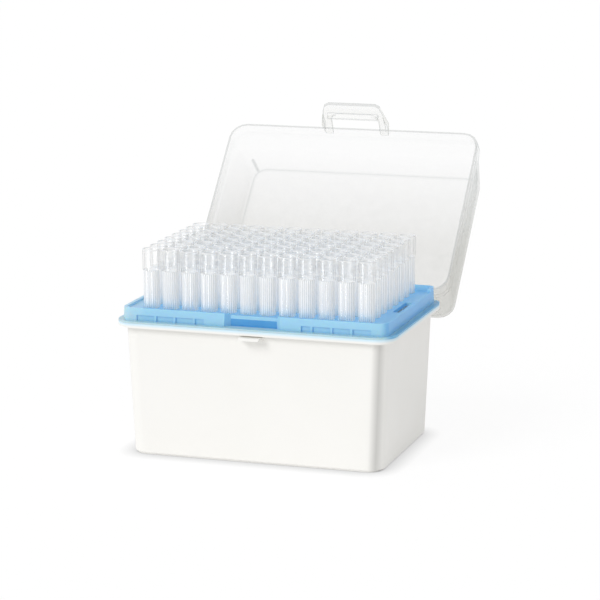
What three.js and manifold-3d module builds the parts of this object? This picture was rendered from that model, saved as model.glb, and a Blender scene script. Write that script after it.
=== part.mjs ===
// A box of pipette tips: an opaque base, a blue tray that holds 8 x 12 tips on a 9 mm grid, and a
// clear lid that is hinged at the back and stands open, with a snap latch on its front edge.
// Millimetres. The origin is the centre of the base's underside, X runs along a row of 12 tips,
// the lid's hinge is at the back (+Y), and Z points up.
import * as THREE from 'three';
import { mergeVertices } from 'three/addons/utils/BufferGeometryUtils.js';
import Module from 'manifold-3d';

const wasm = await Module();
wasm.setup();

// ---- Driving dimensions ------------------------------------------------------------------------

const CORNER_STEPS = 4;
const CLEARANCE = 0.3;
const PAST_EVERYTHING = 100;

// Base: a tapered cup with an overhanging rim
const BASE_BOTTOM = { x: 57.9, y: 38.5, radius: 7.0 };
const BASE_TOP = { x: 60.35, y: 39.9, radius: 7.0 };
const BASE_WALL = 1.8;
const BASE_FLOOR = 2.0;
const BASE_EDGE = 1.0;
const RIM = { x: 63.9, y: 42.7, radius: 8.5 };
const RIM_UNDERSIDE = 58.1;
const RIM_TOP = 60.1;

// Tray: a flange on the rim, a raised block with a parapet, and a skirt that drops into the base
const FLANGE_TOP = 60.9;
const BLOCK = { x: 61.1, y: 39.6, radius: 4.0 };
const BLOCK_DRAFT = 0.3;
const DECK_TOP = 65.6;
const DECK_THICKNESS = 1.5;
const PARAPET_TOP = 66.6;
const PARAPET_WIDTH = 1.5;
const BACK_PARAPET_TOP = 67.9;
const BACK_PARAPET_RETURN = 9;
const SKIRT = { x: 58.1, y: 37.7, radius: 5.0 };
const SKIRT_WALL = 1.2;
const SKIRT_BOTTOM = 55.0;
const LIFTING_SLOT = { inner: 54.9, outer: 59.1, halfLength: 10.7 };
const FRONT_RECESS = { frontHalf: 13.0, innerHalf: 10.6, depth: 2.4 };
const RIB_PANEL = { start: 22.3, end: 53.8, top: 63.4, depth: 0.7 };
const RIB_POSITIONS = [27, 36, 45];
const RIB_WIDTH = 1.0;

// Tips: a smooth collar, a barrel, and a long taper that seats in the deck's hole
const TIP_PITCH = 9;
const COLUMNS = 12;
const ROWS = 8;
const TIP_SIDES = 8;
const FUSED_TIP_SIDES = 6;
const TIP_TOP = 92.0;
const COLLAR_BOTTOM = 82.7;
const COLLAR_RADIUS = 3.95;
const BARREL_RADIUS = 3.6;
const BARREL_BOTTOM = DECK_TOP;
const MOUTH_RADIUS = 3.25;
const TIP_END = 5.8;
const TIP_END_RADIUS = 0.6;
const ORIFICE_RADIUS = 0.35;
const SEAT_GAP = 0.03;
const BORE_STOP = 4;

// Lid: a stepped cover, drawn closed and then swung open about the hinge
const HINGE_Y = 49.2;
const HINGE_Z = 60.4;
const LID_OPEN_ANGLE = 133;
const LID_RIM_Z = FLANGE_TOP + 0.4;
const LID_HALF_WIDTH = 62.5;
const LID_FRONT = -43.2;
const LID_BACK = 45.2;
const LID_HEIGHT = 33.0;
const LID_WALL = 1.0;
const LID_TOP_WALL = 1.1;
const LID_BAND_HEIGHT = 7.0;
const LID_STEP = 0.8;
const LID_TAPER = 4.1;
const LID_RADIUS = 8.0;
const LID_TOP_RADIUS = 7.0;
const LID_EDGE = 1.5;

// Hinge: two trunnion knuckles on the lid, each between two ears on the base
const HINGE_X = 38;
const KNUCKLE_WIDTH = 9;
const KNUCKLE_RADIUS = 2.5;
const KNUCKLE_HEIGHT = 5.5;
const EAR_THICKNESS = 2.2;
const EAR_RADIUS = 2.9;
const EAR_HOLE_RADIUS = 1.45;
const TRUNNION_RADIUS = 1.2;
const TRUNNION_LENGTH = 1.8;
const EAR_FOOT_Z = 50;
const EAR_HEEL = { y: HINGE_Y + 0.8, z: HINGE_Z - 5.6 };
const STOP_WEB = { y0: -2.4, y1: 0.1, z0: -5.4, z1: -3.1 };
const STOP_LUG = { angle: 68, from: 2.2, to: 5.0, thickness: 1.8, width: 5 };

// Catch: a nib under the base's front rim
const CATCH = { rootHalf: 5.6, tipHalf: 4.5, reach: -45.3, top: 57.4, nose: 0.7, bottom: 55.6 };

// Latch: two ribbed arms on the lid's front wall carry a plate with a hook and a finger lip. Its
// places are measured out from that wall and down from the lid's rim.
const LATCH_PATH = [
  { out: CLEARANCE, down: -5.8 },
  { out: 3.4, down: 0.8 },
  { out: 4.5, down: 9.8 },
  { out: 6.2, down: 12.4 },
];
const LATCH_THICKNESS = 1.3;
const LATCH_PLAN = { rootHalf: 16.0, kinkHalf: 16.7, kinkDown: 0.8, endHalf: 14.8, corner: 3.2 };
const LATCH_WINDOW = { half: 11.8, corner: 3.4 };
const HOOK = { tip: 0.5, rootThickness: 2.2, tipThickness: 0.9, half: 12.6 };
const ARM_RIB = { width: 1.5, height: 1.4, bottom: 8.0 };
const LATCH_CORNER_STEPS = 2;

// ---- Geometry helpers --------------------------------------------------------------------------

// A closed surface with shared vertices: seams are merged and collapsed triangles are dropped.
function sealed(geometry) {
  const bare = new THREE.BufferGeometry();
  bare.setAttribute('position', geometry.getAttribute('position'));
  if (geometry.index) {
    bare.setIndex(geometry.index);
  }
  const merged = mergeVertices(bare, 1e-4);
  const source = merged.index.array;
  const kept = [];
  for (let i = 0; i < source.length; i += 3) {
    const [a, b, c] = [source[i], source[i + 1], source[i + 2]];
    if (a !== b && b !== c && c !== a) {
      kept.push(a, b, c);
    }
  }
  merged.setIndex(kept);
  return merged;
}

function solid(geometry) {
  const surface = sealed(geometry);
  return new wasm.Manifold(new wasm.Mesh({
    numProp: 3,
    vertProperties: new Float32Array(surface.getAttribute('position').array),
    triVerts: new Uint32Array(surface.index.array),
  }));
}

function toGeometry(manifold) {
  const mesh = manifold.getMesh();
  const geometry = new THREE.BufferGeometry();
  geometry.setAttribute('position', new THREE.BufferAttribute(new Float32Array(mesh.vertProperties), 3));
  geometry.setIndex(new THREE.BufferAttribute(new Uint32Array(mesh.triVerts), 1));
  geometry.computeVertexNormals();
  return geometry;
}

// The outline of a rounded rectangle, anticlockwise seen from above.
function roundedRect({ x, y, radius, centreY = 0 }, z) {
  const points = [];
  for (let corner = 0; corner < 4; corner += 1) {
    const signX = corner === 0 || corner === 3 ? 1 : -1;
    const signY = corner < 2 ? 1 : -1;
    for (let step = 0; step <= CORNER_STEPS; step += 1) {
      const angle = (corner + step / CORNER_STEPS) * Math.PI / 2;
      points.push(new THREE.Vector3(
        signX * (x - radius) + radius * Math.cos(angle),
        centreY + signY * (y - radius) + radius * Math.sin(angle),
        z,
      ));
    }
  }
  return points;
}

// A moulded wall: rounded rectangles joined in order, with the first and last closed flat.
// Going up the outside and back down the inside makes a cup with a real wall.
function shell(outlines) {
  const rings = outlines.map(([outline, z]) => roundedRect(outline, z));
  const count = rings[0].length;
  const position = rings.flat().flatMap((point) => [point.x, point.y, point.z]);
  const index = [];
  for (let i = 1; i < count - 1; i += 1) {
    index.push(0, i + 1, i);
  }
  for (let ring = 0; ring < rings.length - 1; ring += 1) {
    for (let i = 0; i < count; i += 1) {
      const a = ring * count + i;
      const b = ring * count + (i + 1) % count;
      index.push(a, b, b + count, a, b + count, a + count);
    }
  }
  const last = (rings.length - 1) * count;
  for (let i = 1; i < count - 1; i += 1) {
    index.push(last, last + i, last + i + 1);
  }
  const geometry = new THREE.BufferGeometry();
  geometry.setAttribute('position', new THREE.Float32BufferAttribute(position, 3));
  geometry.setIndex(index);
  return geometry;
}

function grown(outline, amount) {
  return {
    ...outline,
    x: outline.x + amount,
    y: outline.y + amount,
    radius: Math.max(outline.radius + amount, 0.5),
  };
}

function box(x0, x1, y0, y1, z0, z1) {
  const geometry = new THREE.BoxGeometry(Math.abs(x1 - x0), y1 - y0, z1 - z0);
  geometry.translate((x0 + x1) / 2, (y0 + y1) / 2, (z0 + z1) / 2);
  return geometry;
}

// A side profile given as [y, z] points, swept along X from x0 to x1.
function sweptAlongX(profile, x0, x1) {
  const shape = new THREE.Shape(profile.map(([y, z]) => new THREE.Vector2(y, z)));
  const geometry = new THREE.ExtrudeGeometry(shape, { depth: x1 - x0, bevelEnabled: false });
  // The shape's plane turns from XY to YZ, and its depth from Z to X.
  geometry.applyMatrix4(new THREE.Matrix4().set(
    0, 0, 1, x0,
    1, 0, 0, 0,
    0, 1, 0, 0,
    0, 0, 0, 1,
  ));
  return geometry;
}

// A front view given as [x, z] points, drawn out from the plane y = back towards the front.
function drawnForward(outline, back) {
  const shape = new THREE.Shape(outline.map(([x, z]) => new THREE.Vector2(x, z)));
  const geometry = new THREE.ExtrudeGeometry(shape, { depth: PAST_EVERYTHING, bevelEnabled: false });
  geometry.rotateX(Math.PI / 2);
  geometry.translate(0, back, 0);
  return geometry;
}

function rodAlongX(radius, x0, x1, y, z, sides) {
  const geometry = new THREE.CylinderGeometry(radius, radius, x1 - x0, sides);
  geometry.rotateZ(-Math.PI / 2);
  geometry.translate((x0 + x1) / 2, y, z);
  return geometry;
}

function revolved(profile, sides) {
  const points = profile.map(([radius, z]) => new THREE.Vector2(radius, z));
  const geometry = new THREE.LatheGeometry(points, sides);
  geometry.rotateX(Math.PI / 2);
  return geometry;
}

function arc(centreY, centreZ, radius, fromDegrees, toDegrees, steps) {
  const points = [];
  for (let step = 0; step <= steps; step += 1) {
    const angle = THREE.MathUtils.degToRad(fromDegrees + (toDegrees - fromDegrees) * step / steps);
    points.push([centreY + radius * Math.cos(angle), centreZ + radius * Math.sin(angle)]);
  }
  return points;
}

// ---- Base --------------------------------------------------------------------------------------

function baseOutline(z, inset) {
  const share = z / RIM_UNDERSIDE;
  return {
    x: THREE.MathUtils.lerp(BASE_BOTTOM.x, BASE_TOP.x, share) - inset,
    y: THREE.MathUtils.lerp(BASE_BOTTOM.y, BASE_TOP.y, share) - inset,
    radius: BASE_BOTTOM.radius - inset,
  };
}

function hingeEar(x0) {
  const profile = [
    [baseOutline(EAR_FOOT_Z, 1).y, EAR_FOOT_Z],
    [EAR_HEEL.y, EAR_HEEL.z],
    ...arc(HINGE_Y, HINGE_Z, EAR_RADIUS, -25, 125, 4),
    [HINGE_Y - EAR_RADIUS, RIM_TOP],
    [baseOutline(RIM_TOP, 1).y, RIM_TOP],
  ];
  const hole = rodAlongX(EAR_HOLE_RADIUS, x0 - 1, x0 + EAR_THICKNESS + 1, HINGE_Y, HINGE_Z, 8);
  return solid(sweptAlongX(profile, x0, x0 + EAR_THICKNESS)).subtract(solid(hole));
}

// The web between a pair of ears, which the open lid's lug comes to rest on.
function stopWeb(x) {
  return solid(box(
    x - KNUCKLE_WIDTH / 2 - CLEARANCE - EAR_THICKNESS / 2,
    x + KNUCKLE_WIDTH / 2 + CLEARANCE + EAR_THICKNESS / 2,
    HINGE_Y + STOP_WEB.y0,
    HINGE_Y + STOP_WEB.y1,
    HINGE_Z + STOP_WEB.z0,
    HINGE_Z + STOP_WEB.z1,
  ));
}

// The catch under the front rim: its top slopes down to a blunt nose, and its underside is flat.
function catchNib() {
  const wall = -baseOutline(CATCH.bottom, BASE_WALL / 2).y;
  const profile = [
    [wall, CATCH.bottom],
    [wall, CATCH.top],
    [CATCH.reach + CATCH.nose, CATCH.top],
    [CATCH.reach, CATCH.top - CATCH.nose],
    [CATCH.reach, CATCH.bottom],
  ];
  const plan = new THREE.Shape([
    new THREE.Vector2(-CATCH.rootHalf, wall),
    new THREE.Vector2(-CATCH.tipHalf, CATCH.reach),
    new THREE.Vector2(CATCH.tipHalf, CATCH.reach),
    new THREE.Vector2(CATCH.rootHalf, wall),
  ]);
  const column = new THREE.ExtrudeGeometry(plan, { depth: PAST_EVERYTHING, bevelEnabled: false });
  return solid(sweptAlongX(profile, -CATCH.rootHalf, CATCH.rootHalf)).intersect(solid(column));
}

function buildBase() {
  const cup = shell([
    [baseOutline(0, BASE_EDGE), 0],
    [baseOutline(BASE_EDGE, 0), BASE_EDGE],
    [baseOutline(RIM_UNDERSIDE, 0), RIM_UNDERSIDE],
    [RIM, RIM_UNDERSIDE],
    [RIM, RIM_TOP],
    [baseOutline(RIM_TOP, BASE_WALL), RIM_TOP],
    [baseOutline(BASE_FLOOR, BASE_WALL), BASE_FLOOR],
  ]);
  let base = solid(cup).add(catchNib());
  for (const side of [-1, 1]) {
    const near = side * HINGE_X - KNUCKLE_WIDTH / 2 - CLEARANCE - EAR_THICKNESS;
    const far = side * HINGE_X + KNUCKLE_WIDTH / 2 + CLEARANCE;
    base = base.add(hingeEar(near)).add(hingeEar(far)).add(stopWeb(side * HINGE_X));
  }
  return base;
}

// ---- Tips --------------------------------------------------------------------------------------

function taperRadius(z) {
  const share = (z - TIP_END) / (BARREL_BOTTOM - TIP_END);
  return THREE.MathUtils.lerp(TIP_END_RADIUS, BARREL_RADIUS, share);
}

// A loose tip: the outside, then down the tapered bore to the orifice.
function tipGeometry() {
  return revolved([
    [TIP_END_RADIUS, TIP_END],
    [BARREL_RADIUS, BARREL_BOTTOM],
    [BARREL_RADIUS, COLLAR_BOTTOM],
    [COLLAR_RADIUS, COLLAR_BOTTOM],
    [COLLAR_RADIUS, TIP_TOP],
    [MOUTH_RADIUS, TIP_TOP],
    [ORIFICE_RADIUS, TIP_END],
    [TIP_END_RADIUS, TIP_END],
  ], TIP_SIDES);
}

// The same tip with fewer faces, to be joined to the deck: its outside, then its bore, each ending
// in a point.
function fusedTipOutside() {
  return revolved([
    [0, TIP_END],
    [taperRadius(DECK_TOP - DECK_THICKNESS), DECK_TOP - DECK_THICKNESS / 2],
    [BARREL_RADIUS, DECK_TOP - DECK_THICKNESS / 2],
    [BARREL_RADIUS, COLLAR_BOTTOM],
    [COLLAR_RADIUS, COLLAR_BOTTOM],
    [COLLAR_RADIUS, TIP_TOP],
    [0, TIP_TOP],
  ], FUSED_TIP_SIDES);
}

function fusedTipBore() {
  return revolved([
    [0, TIP_END + BORE_STOP],
    [MOUTH_RADIUS, TIP_TOP],
    [0, TIP_TOP],
  ], FUSED_TIP_SIDES);
}

function tipPlaces() {
  const places = [];
  for (let row = 0; row < ROWS; row += 1) {
    for (let column = 0; column < COLUMNS; column += 1) {
      const outer = row === 0 || row === ROWS - 1 || column === 0 || column === COLUMNS - 1;
      places.push({
        name: `tip_${'ABCDEFGH'[row]}${String(column + 1).padStart(2, '0')}`,
        x: (column - (COLUMNS - 1) / 2) * TIP_PITCH,
        y: ((ROWS - 1) / 2 - row) * TIP_PITCH,
        outer,
      });
    }
  }
  return places;
}

// ---- Tray --------------------------------------------------------------------------------------

// The pockets between the ribs on one half of the tray's front face.
function ribPockets(side) {
  const half = RIB_WIDTH / 2;
  const starts = [RIB_PANEL.start, ...RIB_POSITIONS.map((rib) => rib + half)];
  const ends = [...RIB_POSITIONS.map((rib) => rib - half), RIB_PANEL.end];
  return starts.map((start, i) => solid(box(
    side * start,
    side * ends[i],
    -BLOCK.y - 1,
    -BLOCK.y + RIB_PANEL.depth,
    FLANGE_TOP,
    RIB_PANEL.top,
  )));
}

// The parapet stands higher along the back and round both back corners.
function backParapet() {
  const outer = grown(BLOCK, -BLOCK_DRAFT);
  const wall = solid(shell([
    [outer, DECK_TOP],
    [outer, BACK_PARAPET_TOP],
  ])).subtract(solid(shell([
    [grown(outer, -PARAPET_WIDTH), DECK_TOP - 1],
    [grown(outer, -PARAPET_WIDTH), BACK_PARAPET_TOP + 1],
  ])));
  const front = BLOCK.y - BACK_PARAPET_RETURN;
  const behind = box(-PAST_EVERYTHING, PAST_EVERYTHING, front, PAST_EVERYTHING, 0, PAST_EVERYTHING);
  return wall.intersect(solid(behind));
}

// A shallow recess in the middle of the front, whose ends slope outwards.
function frontRecess() {
  const { frontHalf, innerHalf, depth } = FRONT_RECESS;
  const past = 1;
  const pastHalf = frontHalf + past * (frontHalf - innerHalf) / depth;
  const shape = new THREE.Shape([
    new THREE.Vector2(-pastHalf, -BLOCK.y - past),
    new THREE.Vector2(pastHalf, -BLOCK.y - past),
    new THREE.Vector2(innerHalf, -BLOCK.y + depth),
    new THREE.Vector2(-innerHalf, -BLOCK.y + depth),
  ]);
  const height = TIP_TOP - FLANGE_TOP;
  const geometry = new THREE.ExtrudeGeometry(shape, { depth: height, bevelEnabled: false });
  geometry.translate(0, 0, FLANGE_TOP);
  return solid(geometry);
}

function liftingSlots() {
  const { inner, outer, halfLength } = LIFTING_SLOT;
  return [-1, 1].map((side) => solid(box(
    side * inner,
    side * outer,
    -halfLength,
    halfLength,
    FLANGE_TOP,
    TIP_TOP,
  )));
}

function buildTray(places) {
  const top = grown(BLOCK, -BLOCK_DRAFT);
  const hollow = grown(SKIRT, -SKIRT_WALL);
  let tray = solid(shell([
    [hollow, DECK_TOP - DECK_THICKNESS],
    [hollow, SKIRT_BOTTOM],
    [SKIRT, SKIRT_BOTTOM],
    [SKIRT, RIM_TOP],
    [RIM, RIM_TOP],
    [RIM, FLANGE_TOP],
    [BLOCK, FLANGE_TOP],
    [top, PARAPET_TOP],
    [grown(top, -PARAPET_WIDTH), PARAPET_TOP],
    [grown(top, -PARAPET_WIDTH), DECK_TOP],
  ]));
  tray = tray.add(backParapet());
  for (const pocket of [...ribPockets(-1), ...ribPockets(1), frontRecess(), ...liftingSlots()]) {
    tray = tray.subtract(pocket);
  }
  const hole = solid(revolved([
    [0, SKIRT_BOTTOM],
    [taperRadius(DECK_TOP) + SEAT_GAP, SKIRT_BOTTOM],
    [taperRadius(DECK_TOP) + SEAT_GAP, TIP_TOP],
    [0, TIP_TOP],
  ], TIP_SIDES));
  const outside = solid(fusedTipOutside());
  const bore = solid(fusedTipBore());
  for (const { x, y, outer: loose } of places) {
    tray = loose
      ? tray.subtract(hole.translate([x, y, 0]))
      : tray.add(outside.translate([x, y, 0])).subtract(bore.translate([x, y, 0]));
  }
  return tray;
}

// ---- Lid ---------------------------------------------------------------------------------------

const LID_CENTRE_Y = (LID_FRONT + LID_BACK) / 2;
const LID_HALF_DEPTH = (LID_BACK - LID_FRONT) / 2;

function lidOutline(inset, radius) {
  return {
    x: LID_HALF_WIDTH - inset,
    y: LID_HALF_DEPTH - inset,
    radius,
    centreY: LID_CENTRE_Y,
  };
}

function stopLug(x) {
  const { angle, from, to, thickness, width } = STOP_LUG;
  const geometry = box(from, to, -width / 2, width / 2, -thickness / 2, thickness / 2);
  geometry.rotateY(THREE.MathUtils.degToRad(-angle));
  geometry.rotateZ(Math.PI / 2);
  geometry.translate(x, HINGE_Y, HINGE_Z);
  return solid(geometry);
}

function hingeKnuckle(x) {
  const x0 = x - KNUCKLE_WIDTH / 2;
  const x1 = x + KNUCKLE_WIDTH / 2;
  const profile = [
    [LID_BACK - LID_WALL / 2, LID_RIM_Z],
    ...arc(HINGE_Y, HINGE_Z, KNUCKLE_RADIUS, 200, 410, 6),
    [LID_BACK, LID_RIM_Z + KNUCKLE_HEIGHT],
    [LID_BACK - LID_WALL / 2, LID_RIM_Z + KNUCKLE_HEIGHT],
  ];
  const pin = rodAlongX(
    TRUNNION_RADIUS,
    x0 - TRUNNION_LENGTH,
    x1 + TRUNNION_LENGTH,
    HINGE_Y,
    HINGE_Z,
    8,
  );
  return solid(sweptAlongX(profile, x0, x1)).add(solid(pin)).add(stopLug(x));
}

function buildLid() {
  const top = LID_RIM_Z + LID_HEIGHT;
  const bandTop = LID_RIM_Z + LID_BAND_HEIGHT;
  const taperAtEdge = LID_TAPER * (1 - LID_EDGE / LID_HEIGHT);
  let lid = solid(shell([
    [lidOutline(LID_TAPER + LID_WALL, LID_TOP_RADIUS - LID_WALL), top - LID_TOP_WALL],
    [lidOutline(LID_STEP + LID_WALL, LID_RADIUS - LID_STEP - LID_WALL), bandTop],
    [lidOutline(LID_WALL, LID_RADIUS - LID_WALL), bandTop - LID_STEP],
    [lidOutline(LID_WALL, LID_RADIUS - LID_WALL), LID_RIM_Z],
    [lidOutline(0, LID_RADIUS), LID_RIM_Z],
    [lidOutline(0, LID_RADIUS), bandTop],
    [lidOutline(LID_STEP, LID_RADIUS - LID_STEP), bandTop + LID_STEP],
    [lidOutline(taperAtEdge, LID_TOP_RADIUS), top - LID_EDGE],
    [lidOutline(LID_TAPER + LID_EDGE, LID_TOP_RADIUS - LID_EDGE), top],
  ]));
  for (const side of [-1, 1]) {
    lid = lid.add(hingeKnuckle(side * HINGE_X));
  }
  return lid;
}

// A point of the latch as [y, z].
function latchPoint({ out, down }) {
  return [LID_FRONT - out, LID_RIM_Z - down];
}

// How far out the latch's path runs at a given distance down from the rim.
function latchOutAt(down) {
  const next = LATCH_PATH.findIndex((point) => point.down >= down);
  const [above, below] = [LATCH_PATH[next - 1], LATCH_PATH[next]];
  return THREE.MathUtils.mapLinear(down, above.down, below.down, above.out, below.out);
}

// The path moved in towards the box by an even distance, square to each stretch.
function latchPathInset(distance) {
  return LATCH_PATH.map((point, i) => {
    const before = LATCH_PATH[Math.max(i - 1, 0)];
    const after = LATCH_PATH[Math.min(i + 1, LATCH_PATH.length - 1)];
    const slopes = [[before, point], [point, after]]
      .filter(([from, to]) => from !== to)
      .map(([from, to]) => Math.atan2(to.out - from.out, to.down - from.down));
    const middle = (slopes[0] + slopes[slopes.length - 1]) / 2;
    const reach = distance / Math.cos((slopes[0] - slopes[slopes.length - 1]) / 2);
    return { out: point.out - reach * Math.cos(middle), down: point.down + reach * Math.sin(middle) };
  });
}

function latchStrip(from, to) {
  const front = latchPathInset(from).map(latchPoint);
  const back = latchPathInset(to).map(latchPoint);
  return [...front, ...back.reverse()];
}

// The hook's flat top lies just under the catch, and its underside slopes so that it rides over.
function latchHook() {
  const top = LID_RIM_Z - (CATCH.bottom - CLEARANCE);
  const root = latchOutAt(top) - LATCH_THICKNESS / 2;
  return [
    { out: HOOK.tip, down: top },
    { out: HOOK.tip, down: top + HOOK.tipThickness },
    { out: root, down: top + HOOK.rootThickness },
    { out: root, down: top },
  ].map(latchPoint);
}

// The latch from the front: widest where its arms bend, with its two lower corners rounded.
function latchOutline() {
  const { rootHalf, kinkHalf, kinkDown, endHalf, corner } = LATCH_PLAN;
  const [root, end] = [LATCH_PATH[0], LATCH_PATH[LATCH_PATH.length - 1]];
  const centre = { x: endHalf - corner, z: LID_RIM_Z - end.down + corner };
  const right = [
    ...arc(centre.x, centre.z, corner, -90, 0, LATCH_CORNER_STEPS),
    [kinkHalf, LID_RIM_Z - kinkDown],
    [rootHalf, LID_RIM_Z - root.down],
  ];
  return [...right, ...right.map(([x, z]) => [-x, z]).reverse()];
}

// The opening between the arms, down to the top of the hook, with rounded lower corners.
function latchWindow() {
  const { half, corner } = LATCH_WINDOW;
  const centre = { x: half - corner, z: CATCH.bottom - CLEARANCE + corner };
  const right = [
    ...arc(centre.x, centre.z, corner, -90, 0, LATCH_CORNER_STEPS),
    [half, PAST_EVERYTHING],
  ];
  return [...right, ...right.map(([x, z]) => [-x, z]).reverse()];
}

function buildLatch() {
  const { kinkHalf } = LATCH_PLAN;
  const front = LID_FRONT - CLEARANCE;
  const strip = solid(sweptAlongX(latchStrip(0, LATCH_THICKNESS), -kinkHalf, kinkHalf));
  const ribs = solid(sweptAlongX(latchStrip(0, LATCH_THICKNESS + ARM_RIB.height), -kinkHalf, kinkHalf))
    .subtract(solid(box(
      -kinkHalf + ARM_RIB.width,
      kinkHalf - ARM_RIB.width,
      -PAST_EVERYTHING,
      0,
      0,
      PAST_EVERYTHING,
    )))
    .subtract(solid(box(
      -PAST_EVERYTHING,
      PAST_EVERYTHING,
      -PAST_EVERYTHING,
      0,
      0,
      LID_RIM_Z - ARM_RIB.bottom,
    )));
  return strip
    .subtract(solid(drawnForward(latchWindow(), LID_FRONT)))
    .add(solid(sweptAlongX(latchHook(), -HOOK.half, HOOK.half)))
    .add(ribs)
    .intersect(solid(drawnForward(latchOutline(), front)));
}

// ---- Assembly ----------------------------------------------------------------------------------

const basePlastic = new THREE.MeshStandardMaterial({ color: '#f1f0ec', roughness: 0.45, metalness: 0 });
const trayPlastic = new THREE.MeshStandardMaterial({ color: '#8fc4ec', roughness: 0.35, metalness: 0 });
const tipPlastic = new THREE.MeshStandardMaterial({ color: '#e9eef0', roughness: 0.3, metalness: 0 });
const lidPlastic = new THREE.MeshStandardMaterial({ color: '#eceeed', roughness: 0.25, metalness: 0 });

function piece(name, geometry, material) {
  const mesh = new THREE.Mesh(geometry, material.clone());
  mesh.name = name;
  return mesh;
}

const places = tipPlaces();
const tipBox = new THREE.Group();
tipBox.add(piece('base', toGeometry(buildBase()), basePlastic));
tipBox.add(piece('tip_tray', toGeometry(buildTray(places)), trayPlastic));

for (const { name, x, y, outer } of places) {
  if (outer) {
    const tip = piece(name, sealed(tipGeometry()), tipPlastic);
    tip.position.set(x, y, 0);
    tipBox.add(tip);
  }
}

// The lid and its latch are drawn closed, in the base's frame, then turned about the hinge.
const swungLid = new THREE.Group();
swungLid.position.set(0, HINGE_Y, HINGE_Z);
swungLid.rotation.x = THREE.MathUtils.degToRad(-LID_OPEN_ANGLE);
for (const [name, manifold] of [['lid', buildLid()], ['latch', buildLatch()]]) {
  const mesh = piece(name, toGeometry(manifold), lidPlastic);
  mesh.position.set(0, -HINGE_Y, -HINGE_Z);
  swungLid.add(mesh);
}
tipBox.add(swungLid);

export default tipBox;
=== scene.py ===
# %% [markdown]
# # A box of pipette tips
#
# A white box holds a blue tray, the tray holds ninety-six clear tips in a grid, and a clear lid
# stands open behind them. This lesson dresses the measured model: its shapes and places are
# kept, and Blender adds rounded edges, finer tips and the finish of each plastic.
#
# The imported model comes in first. It is in metres, and every piece made below goes where the
# model says, so nothing has to be fitted by eye.

# %% Load the model
from math import cos, degrees, pi, radians, sin

import bmesh
import bpy
from mathutils import Matrix, Vector


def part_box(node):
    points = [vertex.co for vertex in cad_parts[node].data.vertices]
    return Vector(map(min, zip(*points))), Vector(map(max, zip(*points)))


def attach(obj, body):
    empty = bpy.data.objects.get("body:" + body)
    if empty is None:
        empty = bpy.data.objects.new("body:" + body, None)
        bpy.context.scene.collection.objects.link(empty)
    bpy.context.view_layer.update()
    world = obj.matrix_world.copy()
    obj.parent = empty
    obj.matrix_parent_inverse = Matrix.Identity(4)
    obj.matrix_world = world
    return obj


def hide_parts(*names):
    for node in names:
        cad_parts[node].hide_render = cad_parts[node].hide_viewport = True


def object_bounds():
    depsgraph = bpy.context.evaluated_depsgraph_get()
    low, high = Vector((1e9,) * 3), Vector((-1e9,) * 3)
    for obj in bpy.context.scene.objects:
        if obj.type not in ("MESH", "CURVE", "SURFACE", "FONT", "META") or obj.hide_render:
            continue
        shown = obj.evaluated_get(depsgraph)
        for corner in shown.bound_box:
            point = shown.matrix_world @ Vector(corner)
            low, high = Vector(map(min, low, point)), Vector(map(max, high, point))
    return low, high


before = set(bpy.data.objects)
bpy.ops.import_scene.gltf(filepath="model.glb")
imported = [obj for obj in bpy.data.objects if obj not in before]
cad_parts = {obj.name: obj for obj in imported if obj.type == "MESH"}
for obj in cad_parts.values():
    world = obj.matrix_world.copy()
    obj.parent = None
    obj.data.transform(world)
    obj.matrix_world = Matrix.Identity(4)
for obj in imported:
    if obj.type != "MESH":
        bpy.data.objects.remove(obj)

MM = 0.001
cad_box = [list(corner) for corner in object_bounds()]
print("the model's box in mm:", [[round(v / MM, 1) for v in corner] for corner in cad_box])

# %% [markdown]
# ## Places that everything else is measured from
#
# A node's box gives its lowest and highest corners. Two neighbouring tips give the pitch of the
# grid, and the tips at opposite corners give its size. Working these out once keeps every later
# piece in step with the model.

# %% Places
first_low, first_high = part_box("tip_H01")
second_low, second_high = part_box("tip_H02")
last_low, last_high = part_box("tip_A12")

FIRST_TIP = (first_low + first_high) / 2
LAST_TIP = (last_low + last_high) / 2
PITCH = ((second_low + second_high) / 2 - FIRST_TIP).x
TIP_RADIUS = (first_high.x - first_low.x) / 2
COLUMNS = round((LAST_TIP.x - FIRST_TIP.x) / PITCH) + 1
ROWS = round((LAST_TIP.y - FIRST_TIP.y) / PITCH) + 1
print(f"{COLUMNS} x {ROWS} tips at {PITCH / MM:.2f} mm, tops at {first_high.z / MM:.1f} mm")

# %% [markdown]
# ## Small helpers
#
# Colours are written as the hex values that a paint chart or a web page shows. Blender mixes
# light in linear values, so one function converts them. A second one adds a node to a tree with
# its settings and its links. It takes a node's inputs by name, or in the order of its sockets,
# which keeps a material readable as a short list of steps.

# %% Helpers for colours and nodes
def linear(hex_colour):
    """An sRGB hex colour as the linear RGBA that Blender's sockets hold."""
    channels = [int(hex_colour[i:i + 2], 16) / 255 for i in (1, 3, 5)]
    light = [c / 12.92 if c <= 0.04045 else ((c + 0.055) / 1.055) ** 2.4 for c in channels]
    return light + [1.0]


def add(tree, kind, inputs=(), **settings):
    """Add a node: settings are its own properties, inputs are for its sockets.

    Inputs come as a dict of names or as a tuple in the sockets' order. Each is a value, a socket
    to link, or a node, whose first output is linked.
    """
    node = tree.nodes.new(kind)
    for name, value in settings.items():
        setattr(node, name, value)
    named = inputs if isinstance(inputs, dict) else dict(enumerate(inputs))
    for name, value in named.items():
        source = value.outputs[0] if isinstance(value, bpy.types.Node) else value
        if isinstance(source, bpy.types.NodeSocket):
            tree.links.new(source, node.inputs[name])
        else:
            node.inputs[name].default_value = source
    return node


def new_material(name):
    """An empty node material and its tree."""
    material = bpy.data.materials.new(name)
    material.use_nodes = True
    material.node_tree.nodes.clear()
    return material, material.node_tree


WHITE = linear("#ffffff")
BLACK = linear("#000000")
print("a middle grey, #808080, in linear light:", round(linear("#808080")[0], 3))

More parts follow.
